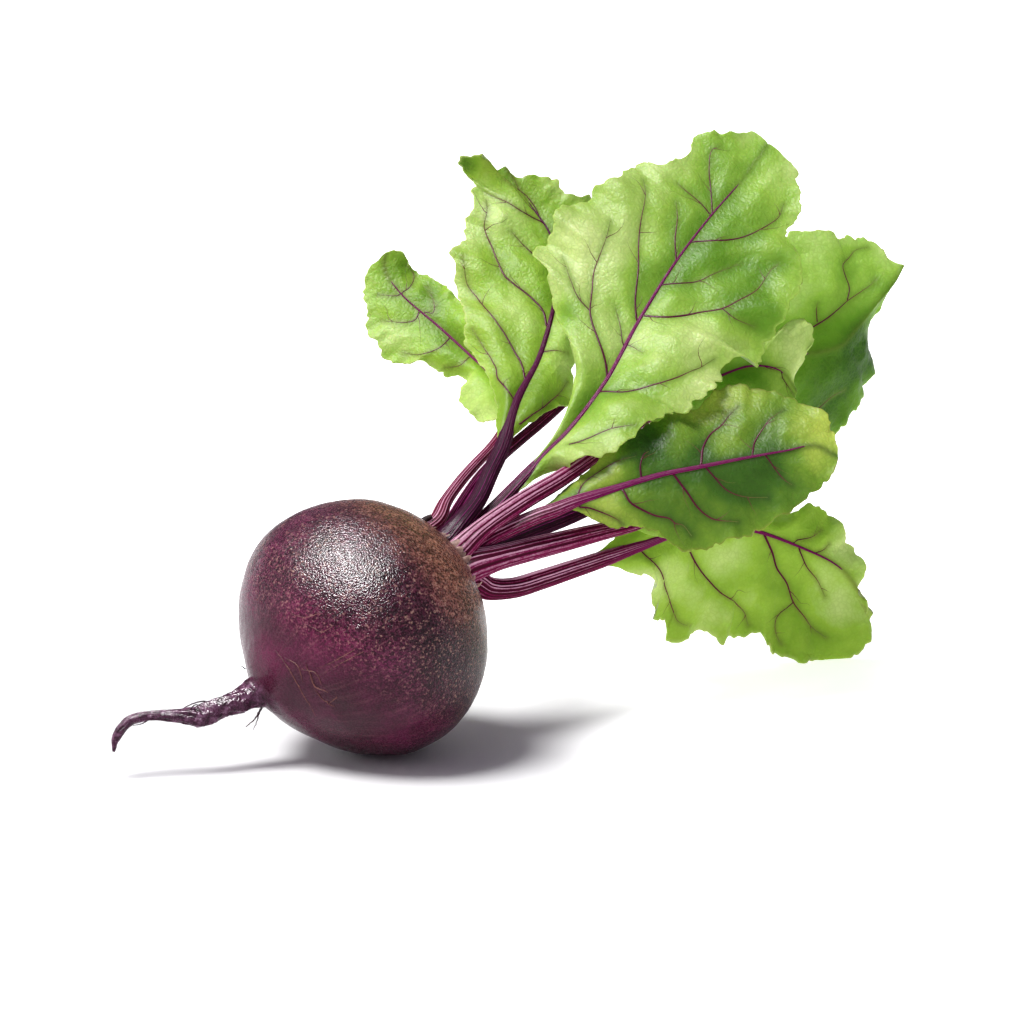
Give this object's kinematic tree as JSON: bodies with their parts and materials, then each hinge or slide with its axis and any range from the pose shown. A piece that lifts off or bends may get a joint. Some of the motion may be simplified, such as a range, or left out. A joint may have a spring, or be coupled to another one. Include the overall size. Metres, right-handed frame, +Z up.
{
  "type": "beetroot with leaves",
  "caption": "Round purple root lying on its side, with a thin hooked tap root and a fan of ribbed stalks and ruffled green leaves.",
  "frame": {"origin": "middle of the small flat spot under the root that it rests on", "axes": "+Z up from the surface; +X towards the leaves; +Y away from a viewer in front, towards the rear leaves"},
  "size_m": [0.2495, 0.1912, 0.1766],
  "materials": {
    "skin": "dull, finely grained",
    "stalk": "smooth, moist",
    "leaf": "waxy, veined"
  },
  "bodies": {
    "root": {"root": "skin", "stalk_far_left": "stalk", "blade_far_left": "leaf", "stalk_rear": "stalk", "blade_rear": "leaf", "stalk_left": "stalk", "blade_left": "leaf", "stalk_tall": "stalk", "blade_tall": "leaf", "stalk_middle": "stalk", "blade_middle": "leaf", "stalk_front": "stalk", "blade_front": "leaf", "stalk_right": "stalk", "blade_right": "leaf", "stalk_inner": "stalk", "blade_inner": "leaf", "stalk_low": "stalk", "blade_low": "leaf"}
  },
  "joints": []
}
